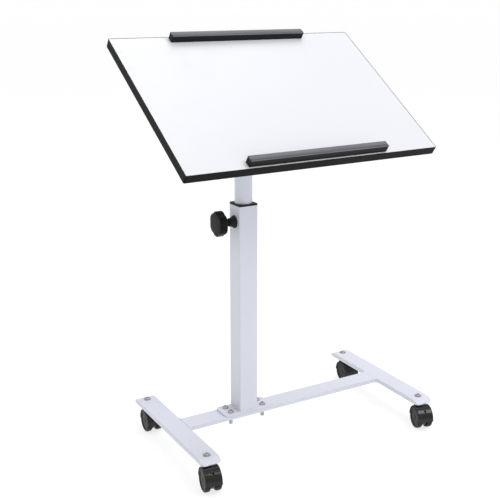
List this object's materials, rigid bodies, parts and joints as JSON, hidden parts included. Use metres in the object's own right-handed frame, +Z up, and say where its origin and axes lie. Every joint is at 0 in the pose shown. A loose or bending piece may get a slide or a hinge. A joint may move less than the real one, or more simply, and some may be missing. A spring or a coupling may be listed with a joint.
{
  "type": "portable drawing board",
  "caption": "Tilting drawing board with two stop bars on a height-adjustable mast, carried by an H-shaped floor stand on twin-wheel casters.",
  "frame": {"origin": "centre of the footprint, on the floor, as the object stands at rest", "axes": "+X along the board's long side to the right of the person who draws, +Y away from that person, +Z up"},
  "size_m": [0.6406, 0.3792, 0.893],
  "materials": {
    "core_wood": "raw particle board",
    "white_laminate": "white melamine, satin",
    "black_edging": "black edging strip",
    "stop_black": "black satin plastic",
    "white_steel": "white powder coat",
    "zinc_steel": "bright zinc plated",
    "nylon": "natural nylon",
    "black_plastic": "black moulded, fine texture",
    "caster_black": "black glossy nylon",
    "wheel_black": "dark grey nylon tread"
  },
  "bodies": {
    "stand": {"column": "white_steel", "column_cap": "black_plastic", "screw_boss": "zinc_steel", "boss_shroud": "black_plastic", "foot_plate": "white_steel", "foot_bolts": "zinc_steel", "foot_washers": "zinc_steel", "foot_nuts": "zinc_steel", "left_leg": "white_steel", "right_leg": "white_steel", "crossbar": "white_steel", "caster_screws": "zinc_steel", "caster_washers": "zinc_steel", "front_left_stem": "zinc_steel", "front_right_stem": "zinc_steel", "rear_left_stem": "zinc_steel", "rear_right_stem": "zinc_steel"},
    "glide": {"tube_glide": "nylon"},
    "mast": {"inner_tube": "white_steel", "yoke": "white_steel", "friction_washers": "nylon"},
    "board": {"board_core": "core_wood", "top_laminate": "white_laminate", "bottom_laminate": "white_laminate", "edge_band": "black_edging", "front_stop": "stop_black", "back_stop": "stop_black", "stop_screws": "zinc_steel", "tilt_bracket": "white_steel", "bracket_screws": "zinc_steel", "pivot_bolt": "zinc_steel"},
    "tilt_washer": {"tilt_washer": "zinc_steel"},
    "tilt_knob": {"tilt_knob": "black_plastic"},
    "clamp_pad": {"pressure_pad": "nylon"},
    "clamp_knob": {"clamp_knob": "black_plastic", "clamp_screw": "zinc_steel"},
    "front_left_caster": {"front_left_housing": "caster_black", "front_left_axle": "zinc_steel"},
    "front_left_left_wheel": {"front_left_left_wheel": "wheel_black"},
    "front_left_right_wheel": {"front_left_right_wheel": "wheel_black"},
    "front_right_caster": {"front_right_housing": "caster_black", "front_right_axle": "zinc_steel"},
    "front_right_left_wheel": {"front_right_left_wheel": "wheel_black"},
    "front_right_right_wheel": {"front_right_right_wheel": "wheel_black"},
    "rear_left_caster": {"rear_left_housing": "caster_black", "rear_left_axle": "zinc_steel"},
    "rear_left_left_wheel": {"rear_left_left_wheel": "wheel_black"},
    "rear_left_right_wheel": {"rear_left_right_wheel": "wheel_black"},
    "rear_right_caster": {"rear_right_housing": "caster_black", "rear_right_axle": "zinc_steel"},
    "rear_right_left_wheel": {"rear_right_left_wheel": "wheel_black"},
    "rear_right_right_wheel": {"rear_right_right_wheel": "wheel_black"}
  },
  "joints": [
    {"name": "mast_height", "type": "slide", "parent": "stand", "child": "glide", "axis": [0, 0, 1], "range_m": [-0.12, 0.18]},
    {"name": "mast_turn", "type": "hinge", "parent": "glide", "child": "mast", "pos_m": [-0.08466, 0.0146, 0], "axis": [0, 0, 1], "continuous": true},
    {"name": "board_tilt", "type": "hinge", "parent": "mast", "child": "board", "pos_m": [-0.08466, 0.0146, 0.7265], "axis": [0.9996, 0.0279, 0], "range_deg": [-34.5, 25.5]},
    {"name": "tilt_knob_travel", "type": "slide", "parent": "board", "child": "tilt_washer", "axis": [-0.9996, -0.0279, 0], "range_m": [0, 0.00125]},
    {"name": "tilt_knob_turn", "type": "hinge", "parent": "tilt_washer", "child": "tilt_knob", "pos_m": [-0.08466, 0.0146, 0.7265], "axis": [-0.9996, -0.0279, 0], "range_deg": [0, 361]},
    {"name": "clamp_travel", "type": "slide", "parent": "stand", "child": "clamp_pad", "axis": [-1, 0, 0], "range_m": [0, 0.00187]},
    {"name": "clamp_turn", "type": "hinge", "parent": "clamp_pad", "child": "clamp_knob", "pos_m": [-0.12466, 0.0146, 0.5045], "axis": [-1, 0, 0], "range_deg": [0, 541]},
    {"name": "front_left_swivel", "type": "hinge", "parent": "stand", "child": "front_left_caster", "pos_m": [-0.25716, -0.1354, 0], "axis": [0, 0, 1], "continuous": true},
    {"name": "front_left_left_spin", "type": "hinge", "parent": "front_left_caster", "child": "front_left_left_wheel", "pos_m": [-0.26132, -0.15903, 0.025], "axis": [0.9848, -0.1736, 0], "continuous": true},
    {"name": "front_left_right_spin", "type": "hinge", "parent": "front_left_caster", "child": "front_left_right_wheel", "pos_m": [-0.26132, -0.15903, 0.025], "axis": [0.9848, -0.1736, 0], "continuous": true},
    {"name": "front_right_swivel", "type": "hinge", "parent": "stand", "child": "front_right_caster", "pos_m": [0.29784, -0.1354, 0], "axis": [0, 0, 1], "continuous": true},
    {"name": "front_right_left_spin", "type": "hinge", "parent": "front_right_caster", "child": "front_right_left_wheel", "pos_m": [0.29123, -0.15847, 0.025], "axis": [0.9613, -0.2756, 0], "continuous": true},
    {"name": "front_right_right_spin", "type": "hinge", "parent": "front_right_caster", "child": "front_right_right_wheel", "pos_m": [0.29123, -0.15847, 0.025], "axis": [0.9613, -0.2756, 0], "continuous": true},
    {"name": "rear_left_swivel", "type": "hinge", "parent": "stand", "child": "rear_left_caster", "pos_m": [-0.25716, 0.1646, 0], "axis": [0, 0, 1], "continuous": true},
    {"name": "rear_left_left_spin", "type": "hinge", "parent": "rear_left_caster", "child": "rear_left_left_wheel", "pos_m": [-0.25841, 0.14064, 0.025], "axis": [0.9986, -0.0523, 0], "continuous": true},
    {"name": "rear_left_right_spin", "type": "hinge", "parent": "rear_left_caster", "child": "rear_left_right_wheel", "pos_m": [-0.25841, 0.14064, 0.025], "axis": [0.9986, -0.0523, 0], "continuous": true},
    {"name": "rear_right_swivel", "type": "hinge", "parent": "stand", "child": "rear_right_caster", "pos_m": [0.29784, 0.1646, 0], "axis": [0, 0, 1], "continuous": true},
    {"name": "rear_right_left_spin", "type": "hinge", "parent": "rear_right_caster", "child": "rear_right_left_wheel", "pos_m": [0.29575, 0.14069, 0.025], "axis": [0.9962, -0.0872, 0], "continuous": true},
    {"name": "rear_right_right_spin", "type": "hinge", "parent": "rear_right_caster", "child": "rear_right_right_wheel", "pos_m": [0.29575, 0.14069, 0.025], "axis": [0.9962, -0.0872, 0], "continuous": true}
  ],
  "couplings": [
    {"joint": "tilt_knob_turn", "follows": "tilt_knob_travel", "rad_per_m": 5026.5},
    {"joint": "clamp_turn", "follows": "clamp_travel", "rad_per_m": 5026.5}
  ]
}
